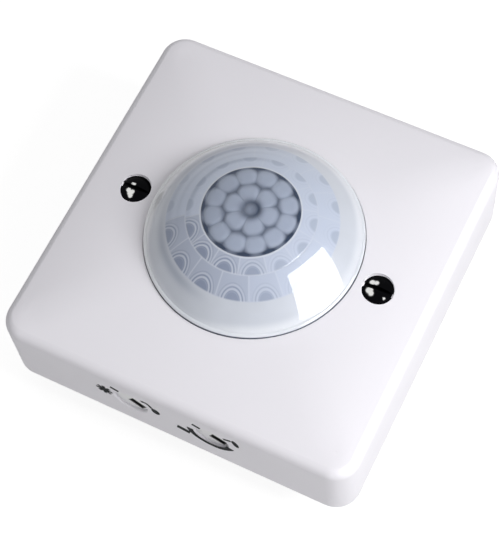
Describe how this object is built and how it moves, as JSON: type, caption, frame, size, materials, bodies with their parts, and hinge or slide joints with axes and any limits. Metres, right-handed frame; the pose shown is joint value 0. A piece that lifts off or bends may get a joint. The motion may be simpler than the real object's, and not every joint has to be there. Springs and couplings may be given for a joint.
{
  "type": "ceiling presence detector",
  "caption": "Square ceiling-mounted infrared presence detector with a faceted dome lens, side adjusters for light level and time, and rear screw terminals.",
  "frame": {"origin": "centre of the back plane that lies on the ceiling", "axes": "+Z out through the lens, +X along the line of the fixing screws, adjusters in the -Y side"},
  "size_m": [0.086, 0.086, 0.049],
  "materials": {
    "housing_white": "moulded, satin",
    "cover_white": "moulded, fine matt",
    "lens_milk": "moulded polyethylene, milky",
    "gasket_foam": "closed cell foam",
    "inner_white": "moulded",
    "hood_grey": "moulded, matt",
    "knob_white": "moulded, satin",
    "board_green": "solder resist",
    "pot_blue": "moulded",
    "fixing_nickel": "black nickel plate",
    "small_screw_zinc": "zinc plate",
    "terminal_grey": "moulded nylon",
    "terminal_brass": "turned",
    "tinned": "solder",
    "relay_blue": "moulded",
    "relay_iron": "plated iron",
    "winding_copper": "enamelled wire",
    "contact_silver": "stamped",
    "sensor_steel": "drawn can",
    "window_silicon": "coated filter",
    "lamp_red": "tinted epoxy",
    "light_cell": "coated ceramic",
    "film_yellow": "potted box",
    "can_black": "shrink sleeve",
    "varistor_blue": "dipped coat",
    "resistor_grey": "lacquer",
    "ferrite": "sintered",
    "chip_black": "moulded epoxy"
  },
  "bodies": {
    "detector_body": {"front_housing": "housing_white", "rear_cover": "cover_white", "lens": "lens_milk", "lens_gasket": "gasket_foam", "lens_retaining_ring": "inner_white", "sensor_hood": "hood_grey", "main_board": "board_green", "cover_screws": "small_screw_zinc", "board_screws": "small_screw_zinc", "ring_screws": "small_screw_zinc", "terminal_housing": "terminal_grey", "terminal_pillars": "terminal_brass", "indicator_lamp": "lamp_red", "light_sensor": "light_cell", "film_capacitor": "film_yellow", "smoothing_capacitor": "can_black", "varistor": "varistor_blue", "fuse_resistor": "resistor_grey", "choke_core": "ferrite", "choke_winding": "winding_copper", "bridge_rectifier": "chip_black", "controller_chip": "chip_black", "amplifier_chip": "chip_black", "solder_pins": "tinned", "relay_base": "relay_blue", "relay_case": "relay_blue", "relay_yoke": "relay_iron", "relay_coil": "winding_copper", "relay_contacts": "contact_silver", "pir_sensor_spacer": "inner_white", "pir_sensor_can": "sensor_steel", "pir_sensor_window": "window_silicon", "light_level_pot_body": "pot_blue", "time_delay_pot_body": "pot_blue"},
    "light_level_adjuster": {"light_level_knob": "knob_white", "light_level_pot_rotor": "inner_white"},
    "time_delay_adjuster": {"time_delay_knob": "knob_white", "time_delay_pot_rotor": "inner_white"},
    "fixing_screw_left": {"fixing_screw_left": "fixing_nickel"},
    "fixing_screw_right": {"fixing_screw_right": "fixing_nickel"},
    "relay_armature": {"relay_armature": "relay_iron"},
    "terminal_screw_1": {"terminal_screw_1": "small_screw_zinc"},
    "terminal_screw_2": {"terminal_screw_2": "small_screw_zinc"},
    "terminal_screw_3": {"terminal_screw_3": "small_screw_zinc"},
    "terminal_screw_4": {"terminal_screw_4": "small_screw_zinc"}
  },
  "joints": [
    {"name": "light_level_turn", "type": "hinge", "parent": "detector_body", "child": "light_level_adjuster", "pos_m": [-0.01, -0.0415, 0.0108], "axis": [0, -1, 0], "range_deg": [-105, 105]},
    {"name": "time_delay_turn", "type": "hinge", "parent": "detector_body", "child": "time_delay_adjuster", "pos_m": [0.01, -0.0415, 0.0108], "axis": [0, -1, 0], "range_deg": [-105, 105]},
    {"name": "fixing_screw_left_turn", "type": "hinge", "parent": "detector_body", "child": "fixing_screw_left", "pos_m": [-0.03015, 0, 0], "axis": [0, 0, 1], "continuous": true},
    {"name": "fixing_screw_right_turn", "type": "hinge", "parent": "detector_body", "child": "fixing_screw_right", "pos_m": [0.03015, 0, 0], "axis": [0, 0, 1], "continuous": true},
    {"name": "terminal_screw_1_turn", "type": "hinge", "parent": "detector_body", "child": "terminal_screw_1", "pos_m": [-0.01125, 0.018, -0.0062], "axis": [0, 0, 1], "continuous": true},
    {"name": "terminal_screw_2_turn", "type": "hinge", "parent": "detector_body", "child": "terminal_screw_2", "pos_m": [-0.00375, 0.018, -0.0062], "axis": [0, 0, 1], "continuous": true},
    {"name": "terminal_screw_3_turn", "type": "hinge", "parent": "detector_body", "child": "terminal_screw_3", "pos_m": [0.00375, 0.018, -0.0062], "axis": [0, 0, 1], "continuous": true},
    {"name": "terminal_screw_4_turn", "type": "hinge", "parent": "detector_body", "child": "terminal_screw_4", "pos_m": [0.01125, 0.018, -0.0062], "axis": [0, 0, 1], "continuous": true},
    {"name": "relay_armature_tilt", "type": "hinge", "parent": "detector_body", "child": "relay_armature", "pos_m": [-0.02735, 0.0283, 0.0137], "axis": [0, 1, 0], "range_deg": [0, 4], "stiffness_Nm_per_rad": 0.002, "springref_deg": -2.86}
  ]
}
